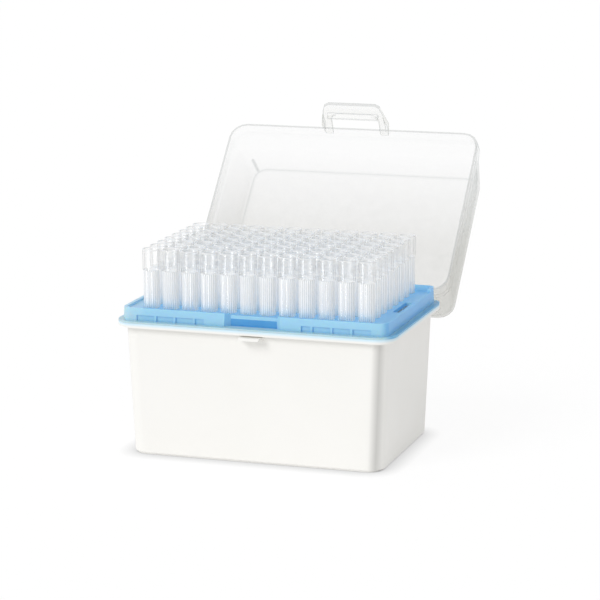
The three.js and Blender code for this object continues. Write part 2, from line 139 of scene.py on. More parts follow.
# %% [markdown]
# ## The camera
#
# The box is seen from a little above and to the right of its front, from about 1.1 metres, with
# a long lens, so upright edges stay nearly parallel. The camera looks at a point just right of
# the middle of the box and leans by a quarter of a degree, as a hand-set tripod does.

# %% Camera
CAMERA_AZIMUTH = radians(18.24)
CAMERA_ELEVATION = radians(12.0)
CAMERA_ROLL = radians(-0.26)
CAMERA_DISTANCE = 1142.7 * MM
CAMERA_TARGET = Vector((8.9, 0.0, 66.0)) * MM
SENSOR_WIDTH = 36.0
FOCAL_LENGTH = 153.57
NEAREST_SEEN = 0.05
FARTHEST_SEEN = 50.0


def aim_camera():
    """Make the camera and turn it towards its target."""
    camera = bpy.data.objects.new("camera", bpy.data.cameras.new("camera"))
    bpy.context.scene.collection.objects.link(camera)
    camera.data.sensor_width = SENSOR_WIDTH
    camera.data.lens = FOCAL_LENGTH
    camera.data.clip_start = NEAREST_SEEN
    camera.data.clip_end = FARTHEST_SEEN
    backward = Vector((
        sin(CAMERA_AZIMUTH) * cos(CAMERA_ELEVATION),
        -cos(CAMERA_AZIMUTH) * cos(CAMERA_ELEVATION),
        sin(CAMERA_ELEVATION),
    ))
    rightward = Vector((cos(CAMERA_AZIMUTH), sin(CAMERA_AZIMUTH), 0.0))
    turn = Matrix((rightward, backward.cross(rightward), backward)).transposed().to_4x4()
    place = Matrix.Translation(CAMERA_TARGET + backward * CAMERA_DISTANCE)
    camera.matrix_world = place @ turn @ Matrix.Rotation(CAMERA_ROLL, 4, "Z")
    return camera


bpy.context.scene.camera = aim_camera()
print("camera at", [round(v, 3) for v in bpy.context.scene.camera.matrix_world.translation])

# %% [markdown]
# ## A white world
#
# Clear plastic shows what stands around it, so the studio is simple: a white world lights
# everything evenly. The camera, reflections and clear plastic see it as plain white, and the
# Light Path node keeps that white from adding any light to the object.

# %% World
WORLD_LIGHT = 0.76
SEEN_RAYS = ("Is Camera Ray", "Is Glossy Ray", "Is Transmission Ray")


def add_light_path_share(tree, rays):
    """One for the named kinds of ray and zero for all others."""
    path = add(tree, "ShaderNodeLightPath")
    share = path.outputs[rays[0]]
    for ray in rays[1:]:
        share = add(tree, "ShaderNodeMath", (share, path.outputs[ray]), operation="MAXIMUM")
    return share


def white_world():
    """A world that lights softly and shows as plain white behind the object."""
    world = bpy.data.worlds.new("studio")
    bpy.context.scene.world = world
    world.use_nodes = True
    tree = world.node_tree
    tree.nodes.clear()
    seen = add_light_path_share(tree, SEEN_RAYS)
    strength = add(tree, "ShaderNodeMapRange", (seen, 0.0, 1.0, WORLD_LIGHT, 1.0))
    background = add(tree, "ShaderNodeBackground", {"Color": WHITE, "Strength": strength})
    add(tree, "ShaderNodeOutputWorld", {"Surface": background})
    return world


world = white_world()
bpy.context.scene.view_settings.view_transform = "Standard"
print("world:", world.name, "with light", WORLD_LIGHT)

# %% [markdown]
# ## Two lamps
#
# A large far lamp at the front left leaves the right side a shade darker. It is a sun with a
# wide angle, which lights the near and the far floor alike. A small panel, such as stands beside
# glassware in a studio, draws an upright highlight on each tip.

# %% Lamps
KEY_STRENGTH = 1.12
KEY_DIRECTION = Vector((-0.45, -0.70, 0.55))
KEY_WIDTH = radians(28.0)
PANEL_PLACE = Vector((-0.134, -0.277, 0.045))
PANEL_WIDTH = 0.11
PANEL_HEIGHT = 0.085
PANEL_POWER = 0.125


def new_lamp(name, kind):
    """A lamp of the given kind, linked into the scene."""
    lamp = bpy.data.objects.new(name, bpy.data.lights.new(name, kind))
    bpy.context.scene.collection.objects.link(lamp)
    return lamp


def key_light():
    """A wide sun at the front left, which leaves no highlight of its own."""
    lamp = new_lamp("key_light", "SUN")
    lamp.data.energy = KEY_STRENGTH
    lamp.data.angle = KEY_WIDTH
    lamp.visible_glossy = False
    lamp.rotation_euler = KEY_DIRECTION.to_track_quat("Z", "Y").to_euler()


def panel_light():
    """A small panel, seen only as a highlight in smooth plastic."""
    lamp = new_lamp("panel_light", "AREA")
    lamp.data.shape = "RECTANGLE"
    lamp.data.size = PANEL_WIDTH
    lamp.data.size_y = PANEL_HEIGHT
    lamp.data.energy = PANEL_POWER
    lamp.location = PANEL_PLACE
    towards = Vector((0.0, 0.0, PANEL_PLACE.z)) - lamp.location
    lamp.rotation_euler = towards.to_track_quat("-Z", "Y").to_euler()
    lamp.visible_camera = False
    lamp.visible_diffuse = False
    lamp.visible_transmission = False
    return lamp


key_light()
panel = panel_light()

# %% [markdown]
# ## The floor
#
# A sheet of white paper under the box would show a shade darker than the background. The floor is
# therefore part paper and part light: the paper darkens where the box keeps light off it, and the
# light lifts the open floor to white. Close to the box an ambient occlusion node holds both back
# and mixes in black, a painted contact shadow that makes an object stand on its floor. Only rays
# that the camera sees, directly or through plastic, get the light, so the floor sends no extra
# light upwards.

# %% Floor
FLOOR_SIZE = 14.0
FLOOR_GAP = 0.02 * MM
# Clumps of fibre in paper are finer than this, and are drawn as coarse as they need to show.
FIBRE_PER_METRE = 1 / (2.5 * MM)
PAPER_SHARE = 0.15
PAPER_SHOWS_AS = 0.88
PAPER_LIGHT = (1.0 - PAPER_SHARE * PAPER_SHOWS_AS) / (1.0 - PAPER_SHARE)
# The painted contact shadow: how far it reaches, and how much light is left at the box.
CONTACT_REACH = 9 * MM
CONTACT_LIGHT = 0.5
CONTACT_SAMPLES = 16


def white_paper():
    """Matt paper with a faint fibre, lifted to white for the camera, and a painted contact
    shadow.
    """
    material, tree = new_material("white_paper")
    place = add(tree, "ShaderNodeTexCoord")
    fibre = add(tree, "ShaderNodeTexNoise", {
        "Vector": place.outputs["Object"],
        "Scale": FIBRE_PER_METRE,
        "Detail": 3.0,
    })
    colour = add(tree, "ShaderNodeMixRGB", (fibre, linear("#f6f6f6"), linear("#f8f8f8")))
    paper = add(tree, "ShaderNodeBsdfDiffuse", {"Color": colour})
    light = add(tree, "ShaderNodeEmission", {"Color": WHITE, "Strength": PAPER_LIGHT})
    lifted = add(tree, "ShaderNodeMixShader", (PAPER_SHARE, light, paper))
    # Black, mixed in by ambient occlusion near the box: a painted contact shadow.
    dark = add(tree, "ShaderNodeBsdfDiffuse", {"Color": BLACK})
    open_sky = add(
        tree, "ShaderNodeAmbientOcclusion", {"Distance": CONTACT_REACH}, samples=CONTACT_SAMPLES,
    ).outputs["AO"]
    kept = add(tree, "ShaderNodeMapRange", (open_sky, 0.0, 1.0, CONTACT_LIGHT, 1.0))
    grounded = add(tree, "ShaderNodeMixShader", (kept, dark, lifted))
    seen = add_light_path_share(tree, SEEN_RAYS)
    surface = add(tree, "ShaderNodeMixShader", (seen, paper, grounded))
    add(tree, "ShaderNodeOutputMaterial", {"Surface": surface})
    return material


def make_floor():
    """A square sheet just under the box."""
    half = FLOOR_SIZE / 2
    corners = [(-half, -half, 0.0), (half, -half, 0.0), (half, half, 0.0), (-half, half, 0.0)]
    mesh = bpy.data.meshes.new("floor")
    mesh.from_pydata(corners, [], [(0, 1, 2, 3)])
    floor = bpy.data.objects.new("floor", mesh)
    floor.location.z = cad_box[0][2] - FLOOR_GAP
    bpy.context.scene.collection.objects.link(floor)
    mesh.materials.append(white_paper())
    return floor


floor = make_floor()
print(f"floor: {FLOOR_SIZE:.0f} m wide, at a height of {floor.location.z / MM:.2f} mm")

# %% [markdown]
# ## From a CAD solid to a moulded piece
#
# A CAD solid comes as loose triangles. Each solid is copied, its doubled corners are joined, and
# the small triangles of a flat face become one face again, because a bevel needs whole faces to
# find the real edges. The solid itself stays as it is.

# %% Copies of solids
SAME_POINT = 0.002 * MM
FLAT_WITHIN = radians(1.0)


def joined_copy(node, change=None):
    """The node's mesh with its doubled corners joined, and flat areas as single faces.

    change, where one is given, edits the joined mesh before its flat areas become single faces.
    """
    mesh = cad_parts[node].data.copy()
    work = bmesh.new()
    work.from_mesh(mesh)
    bmesh.ops.remove_doubles(work, verts=work.verts, dist=SAME_POINT)
    if change:
        change(work)
    bmesh.ops.dissolve_limit(work, angle_limit=FLAT_WITHIN, verts=work.verts, edges=work.edges)
    bmesh.ops.recalc_face_normals(work, faces=work.faces)
    work.to_mesh(mesh)
    work.free()
    mesh.materials.clear()
    print(f"{node}: {len(mesh.polygons)} faces once joined")
    return mesh


def settled(obj):
    """Turn an object's modifiers into plain mesh."""
    bpy.context.view_layer.update()
    held = obj.evaluated_get(bpy.context.evaluated_depsgraph_get())
    mesh = bpy.data.meshes.new_from_object(held)
    obj.modifiers.clear()
    obj.data = mesh
    return obj


def add_piece(name, mesh):
    """An object at the origin that holds the mesh, linked into the scene."""
    obj = bpy.data.objects.new(name, mesh)
    bpy.context.scene.collection.objects.link(obj)
    return obj


print("solids in the model:", len(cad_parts))

# %% [markdown]
# ## Rounded edges
#
# A CAD solid has knife-sharp edges, and nothing that leaves a mould has those. A bevel rounds
# every edge by a fraction of a millimetre, and smooth shading runs over the curved corners but
# stops at real edges. Each finished piece is treated in the same way: it rides on a body of the
# model, and the nodes that it stands in for are hidden.

# %% Rounded edges
CORNER_TURN = radians(31.0)
EDGE_SLOT = 1


def round_edges(obj, width, edge_material=-1):
    """Round the sharp edges, then shade smooth up to the angle of a real edge.

    edge_material is the slot that the rounded faces take, or -1 for that of their neighbours.
    """
    bevel = obj.modifiers.new("round_edges", "BEVEL")
    bevel.width = width
    bevel.segments = 2
    bevel.limit_method = "ANGLE"
    bevel.angle_limit = CORNER_TURN
    bevel.miter_outer = "MITER_ARC"
    bevel.material = edge_material
    settled(obj)
    obj.data.shade_smooth()
    obj.data.set_sharp_from_angle(angle=CORNER_TURN)
    flat = obj.modifiers.new("keep_flat_faces_flat", "WEIGHTED_NORMAL")
    flat.keep_sharp = True
    return settled(obj)


def belongs(obj, body, slot, material, *nodes):
    """Put the piece on the body that carries it, hide the nodes it stands in for, give it its
    material.
    """
    if not obj.data.materials:
        obj.data.materials.append(material)
    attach(obj, body)
    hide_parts(*nodes)
    print(f"{obj.name}: {len(obj.data.polygons)} faces on {body}")
    return obj


print(f"edges that turn by more than {degrees(CORNER_TURN):.0f} degrees are rounded")

# %% [markdown]
# ## Grain and clouds
#
# No moulded surface is quite even. Two small groups of nodes serve all the plastics: a fine bump
# for the grain that the mould leaves, and a slow drift between two close colours. Both read
# Object coordinates, so they stay with a piece when it moves.

# %% Grain and clouds
CLOUD_PER_METRE = 1 / (30 * MM)


def add_grain(tree, place, scale, strength, distance):
    """A bump of fine grain, as a spark-eroded or polished mould leaves it."""
    grain = add(tree, "ShaderNodeTexNoise", {
        "Vector": place.outputs["Object"],
        "Scale": scale,
        "Detail": 3.0,
        "Roughness": 0.6,
    })
    return add(tree, "ShaderNodeBump", {
        "Strength": strength,
        "Distance": distance,
        "Height": grain,
    })


def add_clouds(tree, place, low, high, scale=CLOUD_PER_METRE):
    """A slow change between two colours over the piece."""
    cloud = add(tree, "ShaderNodeTexNoise", {
        "Vector": place.outputs["Object"],
        "Scale": scale,
        "Detail": 2.0,
    })
    return add(tree, "ShaderNodeMixRGB", (cloud, linear(low), linear(high)))


print(f"clouds of {1 / (CLOUD_PER_METRE * MM):.0f} mm")

# %% [markdown]
# ## Opaque white polypropylene
#
# The base is moulded in filled white polypropylene. Its surface is neither glossy nor flat: the
# mould is spark-eroded, which leaves a grain of about a fifth of a millimetre that softens every
# highlight. The white is a warm one, and it varies by less than the eye can name over a few
# centimetres.
#
# Two tones are painted light and shade. Along the rim a painted blue stands for the light that
# comes through the tray, and where the upright corners turn to the right, away from the lamp, a
# narrow band of painted shade is a shade deeper. Both follow the piece's own axes, so they stay
# where they are in every view.

# %% White plastic
POLYPROPYLENE_IOR = 1.49
# Grains per metre, strength and depth of the bump.
WHITE_GRAIN = (1 / (0.22 * MM), 0.25, 0.02 * MM)
WHITE_ROUGHNESS = (0.38, 0.5)
WEAR_PER_METRE = 1 / (9 * MM)
# Stretches of height and of depth over which the painted blue light on the rim comes and goes.
RIM_LIGHT_RISES = (58.6 * MM, 60.0 * MM)
RIM_LIGHT_ENDS = (43.0 * MM, 43.4 * MM)
# The band of painted shade down the corners: how far a face turns to the right where it comes
# and goes, and where it ends.
BAND_COMES = (0.14, 0.6)
BAND_GOES = (0.6, 0.9)
BAND_TOP = (56.5 * MM, 58.0 * MM)


def add_painted_rim_light(tree, axis):
    """One along the rim in front of the hinge, where blue light is painted, zero elsewhere."""
    rising = add(tree, "ShaderNodeMapRange", (axis.outputs["Z"], *RIM_LIGHT_RISES))
    in_front = add(tree, "ShaderNodeMapRange", (axis.outputs["Y"], *RIM_LIGHT_ENDS, 1.0, 0.0))
    return add(tree, "ShaderNodeMath", (rising, in_front), operation="MULTIPLY")


def add_painted_corner_shade(tree, place, axis):
    """Painted shade: one down the middle of each upright corner on the right, below the rim."""
    facing = add(tree, "ShaderNodeSeparateXYZ", {"Vector": place.outputs["Normal"]})
    coming = add(tree, "ShaderNodeMapRange", (facing.outputs["X"], *BAND_COMES))
    going = add(tree, "ShaderNodeMapRange", (facing.outputs["X"], *BAND_GOES, 1.0, 0.0))
    band = add(tree, "ShaderNodeMath", (coming, going), operation="MINIMUM")
    below_rim = add(tree, "ShaderNodeMapRange", (axis.outputs["Z"], *BAND_TOP, 1.0, 0.0))
    return add(tree, "ShaderNodeMath", (band, below_rim), operation="MULTIPLY")


def white_polypropylene():
    """White satin-grained plastic, with painted blue light on the rim and painted shade on right
    corners.
    """
    material, tree = new_material("white_polypropylene_spark_eroded")
    place = add(tree, "ShaderNodeTexCoord")
    axis = add(tree, "ShaderNodeSeparateXYZ", {"Vector": place.outputs["Object"]})
    clouds = add_clouds(tree, place, "#efeeea", "#f3f2ef")
    # Painted blue light along the rim, for the light that comes through the tray.
    rim_lit = add(tree, "ShaderNodeMixRGB", (add_painted_rim_light(tree, axis), clouds, linear("#cbeafa")))
    band = add_painted_corner_shade(tree, place, axis)
    # Painted shade down the corners that turn away from the lamp.
    colour = add(tree, "ShaderNodeMixRGB", (band, rim_lit, linear("#cfcecb")))
    wear = add(tree, "ShaderNodeTexNoise", {
        "Vector": place.outputs["Object"],
        "Scale": WEAR_PER_METRE,
        "Detail": 4.0,
    })
    plastic = add(tree, "ShaderNodeBsdfPrincipled", {
        "Base Color": colour,
        "Roughness": add(tree, "ShaderNodeMapRange", (wear, 0.0, 1.0, *WHITE_ROUGHNESS)),
        "IOR": POLYPROPYLENE_IOR,
        "Normal": add_grain(tree, place, *WHITE_GRAIN),
    })
    add(tree, "ShaderNodeOutputMaterial", {"Surface": plastic})
    return material


white_plastic = white_polypropylene()
print(f"{white_plastic.name}: {len(white_plastic.node_tree.nodes)} nodes")

# %% [markdown]
# ## The base
#
# One open box: four walls that lean out by a degree or two so that the moulding leaves the tool,
# a rolled rim round the top, a narrow nib in front for the lid's latch to hook under, and two
# pairs of ears at the back for the hinge. It could be built again from the walls up, but the
# measured solid is already right, so its edges are rounded and the nib's lower front edge is
# raised a little, which makes the nib as thin as a real one and leaves its hook side alone.

# %% Base
EDGE_RADIUS = 0.35 * MM
NIB_FRONT = -44.5 * MM
NIB_UNDERSIDE = 55.7 * MM
NIB_RISE = 0.7 * MM

base = add_piece("base_moulding", joined_copy("base"))
nib_edge = [v for v in base.data.vertices if v.co.y < NIB_FRONT and v.co.z < NIB_UNDERSIDE]
for vertex in nib_edge:
    vertex.co.z += NIB_RISE
print(f"nib: {len(nib_edge)} corners raised by {NIB_RISE / MM:.1f} mm")
round_edges(base, EDGE_RADIUS)
belongs(base, "box", "base_plastic", white_plastic, "base")

# %% [markdown]
# ## Clear plastics
#
# Clear polypropylene is never quite clear. Part of the light goes straight through, part is
# scattered inside the wall and makes it look milky, and a little is mirrored at the surface. A
# wall seen edge-on is a longer way for the light, so it is milkier there, mirrors more, and bends
# what passes so far aside that the edge shows as a thin grey line. One function mixes these
# shares, so the clear pieces differ only in numbers. Light that falls on other pieces passes
# nearly unweakened, because a milky wall scatters light and hardly swallows any.
#
# A glass shader could bend the light as well, but ninety-six tips are hundreds of clear walls,
# and a mix of see-through and milky parts gives the same look without noise.

# %% Tones of clear plastic
RIB_ATTRIBUTE = "rib_crest"
OUTSIDE_ATTRIBUTE = "outside"
# How a rib's groove and its crest scatter, and how a bore mirrors, against a plain outer wall.
RIB_SHARES = (0.35, 1.65)
BORE_MIRRORS = 0.05
# Distances from the painted dark streak at which it starts to fade and is gone.
STREAK_FADE = (0.3 * MM, 1.2 * MM)
# How far a face turns to the right where the far side's painted shade starts and is full.
FAR_SHADE_TURN = (0.35, 0.95)
CORNER_POWER = 2.0
CORNER_SAMPLES = 8


def add_milk(tree, place, axis, milk, lower_milk, painted_far_shade):
    """The colour of the light that a wall scatters, with painted light and shade low down and on
    the far side.
    """
    colour = add_clouds(tree, place, *milk)
    if lower_milk:
        lower, start, end = lower_milk
        height = add(tree, "ShaderNodeMapRange", (axis.outputs["Z"], start * MM, end * MM))
        colour = add(tree, "ShaderNodeMixRGB", (height, linear(lower), colour))
    # Faces turned away from the lamp get a painted shade.
    if painted_far_shade:
        facing = add(tree, "ShaderNodeSeparateXYZ", {"Vector": place.outputs["Normal"]})
        turned = add(tree, "ShaderNodeMapRange", (facing.outputs["X"], *FAR_SHADE_TURN))
        colour = add(tree, "ShaderNodeMixRGB", (turned, colour, linear(painted_far_shade)))
    return colour


def add_streak(tree, axis, start, end):
    """One near the straight line between two points or its mirror image, zero away from it."""
    outward = add(tree, "ShaderNodeMath", {0: axis.outputs["X"]}, operation="ABSOLUTE")
    point = add(tree, "ShaderNodeCombineXYZ", (outward, axis.outputs["Y"], axis.outputs["Z"]))
    along = Vector(end) - Vector(start)
    step = along / along.length_squared
    from_start = add(tree, "ShaderNodeVectorMath", (point, start), operation="SUBTRACT")
    reached = add(tree, "ShaderNodeVectorMath", (from_start, step), operation="DOT_PRODUCT")
    held = add(tree, "ShaderNodeMapRange", {"Value": reached.outputs["Value"]})
    foot = add(tree, "ShaderNodeVectorMath", {0: along, "Scale": held}, operation="SCALE")
    apart = add(tree, "ShaderNodeVectorMath", (from_start, foot), operation="DISTANCE")
    return add(tree, "ShaderNodeMapRange", (apart.outputs["Value"], *STREAK_FADE, 1.0, 0.0))


def add_painted_inner_corner_shade(tree, reach):
    """Painted shade: one deep in an inner corner seen from outside the piece, zero on open walls.
    """
    open_air = add(
        tree, "ShaderNodeAmbientOcclusion", {"Distance": reach},
        samples=CORNER_SAMPLES, only_local=True,
    ).outputs["AO"]
    closed = add(tree, "ShaderNodeMath", (1.0, open_air), operation="SUBTRACT")
    deep = add(tree, "ShaderNodeMath", (closed, CORNER_POWER), operation="POWER")
    inside = add(tree, "ShaderNodeNewGeometry").outputs["Backfacing"]
    outside = add(tree, "ShaderNodeMath", (1.0, inside), operation="SUBTRACT")
    return add(tree, "ShaderNodeMath", (deep, outside), operation="MULTIPLY")


def add_line(tree, axis, edge, corner, painted_streak):
    """How much passing light takes the line's colour: at edges and in painted corner and streak
    shade.
    """
    extra = []
    # Inner corners get a painted grey shade.
    if corner:
        reach, strength = corner
        extra.append((add_painted_inner_corner_shade(tree, reach), strength))
    if painted_streak:
        start, end, strength = painted_streak
        extra.append((add_streak(tree, axis, start, end), strength))
    for mark, strength in extra:
        more = add(tree, "ShaderNodeMath", (mark, strength), operation="MULTIPLY")
        edge = add(tree, "ShaderNodeMath", (edge, more), operation="ADD", use_clamp=True)
    return edge


print("attributes that a ribbed mesh carries:", RIB_ATTRIBUTE, OUTSIDE_ATTRIBUTE)

# %% [markdown]
# ## One function for all clear plastics
#
# The function below puts the tones together. The way in which they are mixed is the same for the
# lid, its latch, their edges and the tips, so each of them is one call with its own numbers.

# %% Clear plastic
LIGHTING_RAYS = ("Is Shadow Ray", "Is Diffuse Ray")
MILK_POWER = 3.0
MIRROR_POWER = 5.0
SENT_THROUGH = 0.4
# Flow marks, as the melt leaves them a few millimetres apart, and how unevenly they scatter.
FLOW_PER_METRE = 1 / (6 * MM)
FLOW_SHARES = (0.85, 1.15)


def clear_plastic(
    name, milk, line, milk_shares, mirror_shares, gloss, grain, light_loss,
    line_power=4.0, zones=(), ribbed=False, corner=None, lower_milk=None, painted_streak=None,
    painted_far_shade=None,
):
    """Plastic that lets light through.

    milk holds two hex colours and line the colour of what passes edge-on, which shows in a
    narrower line with a higher line_power. milk_shares and mirror_shares are the parts that one
    surface scatters and mirrors, seen straight and edge-on. gloss is the range of roughness,
    grain what add_grain takes, and light_loss what other pieces lose of the light behind it.

    zones lists stretches of height in millimetres, each with the factor that the scattered part
    has below it and above it. ribbed is for a mesh that tells crests from grooves and its outside
    from its bore. corner holds how far the painted shade of inner corners reaches and how dark it
    is. lower_milk holds the colour of painted light and shade low down, and the stretch of
    height over which the milk changes from that colour to its own. painted_streak holds the two
    ends of a painted dark streak, on the right and mirrored to the left, and how much it darkens.
    painted_far_shade is the painted shade that the milk takes on surfaces facing away from the
    lamp.
    """
    material, tree = new_material(name)
    place = add(tree, "ShaderNodeTexCoord")
    axis = add(tree, "ShaderNodeSeparateXYZ", {"Vector": place.outputs["Object"]})
    bump = add_grain(tree, place, *grain)
    flow = add(tree, "ShaderNodeTexNoise", {
        "Vector": place.outputs["Object"],
        "Scale": FLOW_PER_METRE,
        "Detail": 3.0,
    })
    facing = add(tree, "ShaderNodeLayerWeight", {"Blend": 0.5}).outputs["Facing"]

    # The part of the light that the wall scatters, most of it back and the rest onwards.
    edge_on = add(tree, "ShaderNodeMath", (facing, MILK_POWER), operation="POWER")
    share = add(tree, "ShaderNodeMapRange", (edge_on, 0.0, 1.0, *milk_shares))
    factors = [add(tree, "ShaderNodeMapRange", (flow, 0.0, 1.0, *FLOW_SHARES))]
    for start, end, below, above in zones:
        stretch = (axis.outputs["Z"], start * MM, end * MM, below, above)
        factors.append(add(tree, "ShaderNodeMapRange", stretch))
    if ribbed:
        crest = add(tree, "ShaderNodeAttribute", attribute_name=RIB_ATTRIBUTE).outputs["Fac"]
        factors.append(add(tree, "ShaderNodeMapRange", (crest, 0.0, 1.0, *RIB_SHARES)))
    for factor in factors:
        share = add(tree, "ShaderNodeMath", (share, factor), operation="MULTIPLY")
    colour = add_milk(tree, place, axis, milk, lower_milk, painted_far_shade)
    front = add(tree, "ShaderNodeBsdfDiffuse", {"Color": colour, "Normal": bump})
    behind = add(tree, "ShaderNodeBsdfTranslucent", {"Color": colour, "Normal": bump})
    scattered = add(tree, "ShaderNodeMixShader", (SENT_THROUGH, front, behind))

    # The part that passes, with its grey lines.
    edge = add(tree, "ShaderNodeMath", (facing, line_power), operation="POWER")
    shaded = add_line(tree, axis, edge, corner, painted_streak)
    tint = add(tree, "ShaderNodeMixRGB", (shaded, WHITE, linear(line)))
    passed = add(tree, "ShaderNodeBsdfTransparent", {"Color": tint})
    wall = add(tree, "ShaderNodeMixShader", (share, passed, scattered))

    # The part that is mirrored at the surface.
    mirror = add(tree, "ShaderNodeBsdfGlossy", {
        "Color": WHITE,
        "Roughness": add(tree, "ShaderNodeMapRange", (flow, 0.0, 1.0, *gloss)),
        "Normal": bump,
    })
    grazing = add(tree, "ShaderNodeMath", (facing, MIRROR_POWER), operation="POWER")
    mirrored = add(tree, "ShaderNodeMapRange", (grazing, 0.0, 1.0, *mirror_shares))
    if ribbed:
        outer = add(tree, "ShaderNodeAttribute", attribute_name=OUTSIDE_ATTRIBUTE).outputs["Fac"]
        factor = add(tree, "ShaderNodeMapRange", (outer, 0.0, 1.0, BORE_MIRRORS, 1.0))
        mirrored = add(tree, "ShaderNodeMath", (mirrored, factor), operation="MULTIPLY")
    lit = add(tree, "ShaderNodeMixShader", (mirrored, wall, mirror))

    # Rays that carry light to other pieces pass nearly unweakened.
    unweakened = add(tree, "ShaderNodeBsdfTransparent", {"Color": WHITE})
    carrying = add_light_path_share(tree, LIGHTING_RAYS)
    lighting = add(tree, "ShaderNodeMath", (carrying, 1.0 - light_loss), operation="MULTIPLY")
    surface = add(tree, "ShaderNodeMixShader", (lighting, lit, unweakened))
    add(tree, "ShaderNodeOutputMaterial", {"Surface": surface})
    print(f"{name}: {len(tree.nodes)} nodes")
    return material


# %% [markdown]
# ## Frosted polypropylene for the lid and its latch
#
# The lid is moulded in clear plastic with a fine frost, so things behind it show faintly. Low
# down its milk is denser and greyer, a painted shade; its inner corners get a painted grey shade,
# and a painted dark streak runs up each side.
# The latch is thicker than the lid, so it looks a little creamier. An edge shows light that has
# come through a whole wall, so it looks nearly solid and gets a plastic of its own.

# %% Lid plastics
# Mould frost of a third of a millimetre.
FROST = (1 / (0.35 * MM), 0.08, 0.01 * MM)
# Ends of the painted dark streak up the lid's inner corner, given on the right.
STREAK_START = (56.35 * MM, 132.8 * MM, 100.4 * MM)
STREAK_END = (57.4 * MM, 127.2 * MM, 107.1 * MM)

# The denser, greyer milk low down is painted shade, as are the grey inner corners and the streak.
lid_plastic = clear_plastic(
    "clear_polypropylene_frosted",
    milk=("#f4f4f2", "#f8f8f7"), line="#ced2d2", milk_shares=(0.03, 0.10),
    mirror_shares=(0.02, 0.2), gloss=(0.16, 0.24), grain=FROST, light_loss=0.10, line_power=8.0,
    zones=((70.0, 114.0, 8.0, 1.0),), lower_milk=("#d6d5cf", 75.0, 114.0),
    corner=(2.5 * MM, 1.8), painted_streak=(STREAK_START, STREAK_END, 0.6),
)
edge_plastic = clear_plastic(
    "clear_polypropylene_edge",
    milk=("#d2d4d3", "#d8dad9"), line="#c4c7c7", milk_shares=(0.5, 0.8),
    mirror_shares=(0.01, 0.1), gloss=(0.12, 0.20), grain=FROST, light_loss=0.10,
)
latch_plastic = clear_plastic(
    "clear_polypropylene_thick",
    milk=("#f5f4ea", "#f9f8f0"), line="#cacbc4", milk_shares=(0.06, 0.35),
    mirror_shares=(0.02, 0.2), gloss=(0.16, 0.24), grain=FROST, light_loss=0.10, line_power=3.0,
)

# %% [markdown]
# ## The lid and its latch
#
# The lid is a deep shell with a stepped band round its mouth, which stiffens a wall only a
# millimetre thick. The latch is a flap of the same moulding on a thin living hinge, with a
# window in it and a hook that snaps under the nib of the base. Both are rounded copies of their
# solids. Their narrow end faces are found as the ones that lie farthest towards the lid's mouth.

# %% Lid and latch
# The direction in which the open lid's mouth points.
LID_LEAN = radians(47.0)
OPENING = Vector((0.0, -sin(LID_LEAN), cos(LID_LEAN)))
FACES_OPENING = 0.99
RIM_WITHIN = 0.3 * MM
LIP_WITHIN = 1.0 * MM
LID_RADIUS = 0.45 * MM
LATCH_RADIUS = 0.25 * MM


def paint_end(faces, within):
    """Give the faces farthest towards the lid's opening the plastic of an edge."""
    farthest = max(f.center.dot(OPENING) for f in faces)
    end = [f for f in faces if f.center.dot(OPENING) > farthest - within]
    for face in end:
        face.material_index = EDGE_SLOT
    print("faces in the plastic of an edge:", len(end))


def paint_rim(mesh):
    """Paint the narrow face round the lid's mouth."""
    paint_end([f for f in mesh.polygons if f.normal.dot(OPENING) > FACES_OPENING], RIM_WITHIN)


def paint_lip(mesh):
    """Paint the narrow face at the end of the latch's finger lip."""
    paint_end(list(mesh.polygons), LIP_WITHIN)


def clear_piece(name, node, body, radius, plastic, paint):
    """A clear moulding whose rounded edges and painted faces have the edge's own plastic."""
    obj = add_piece(name, joined_copy(node))
    obj.data.materials.append(plastic)
    obj.data.materials.append(edge_plastic)
    paint(obj.data)
    round_edges(obj, radius, edge_material=EDGE_SLOT)
    return belongs(obj, body, "lid_plastic", plastic, node)


clear_piece("lid_moulding", "lid", "lid", LID_RADIUS, lid_plastic, paint_rim)
clear_piece("latch_flap", "latch", "latch", LATCH_RADIUS, latch_plastic, paint_lip)

# %% [markdown]
# ## Things that repeat: one grid for holes and tips
#
# The tray has ninety-six holes and the box holds ninety-six tips, on the same grid. A small
# geometry nodes tree sets out the grid, puts one shape on each point and gives each a turn of
# its own, because tips drop into their holes at any angle. An array modifier could set out the
# grid too, but not the turns.

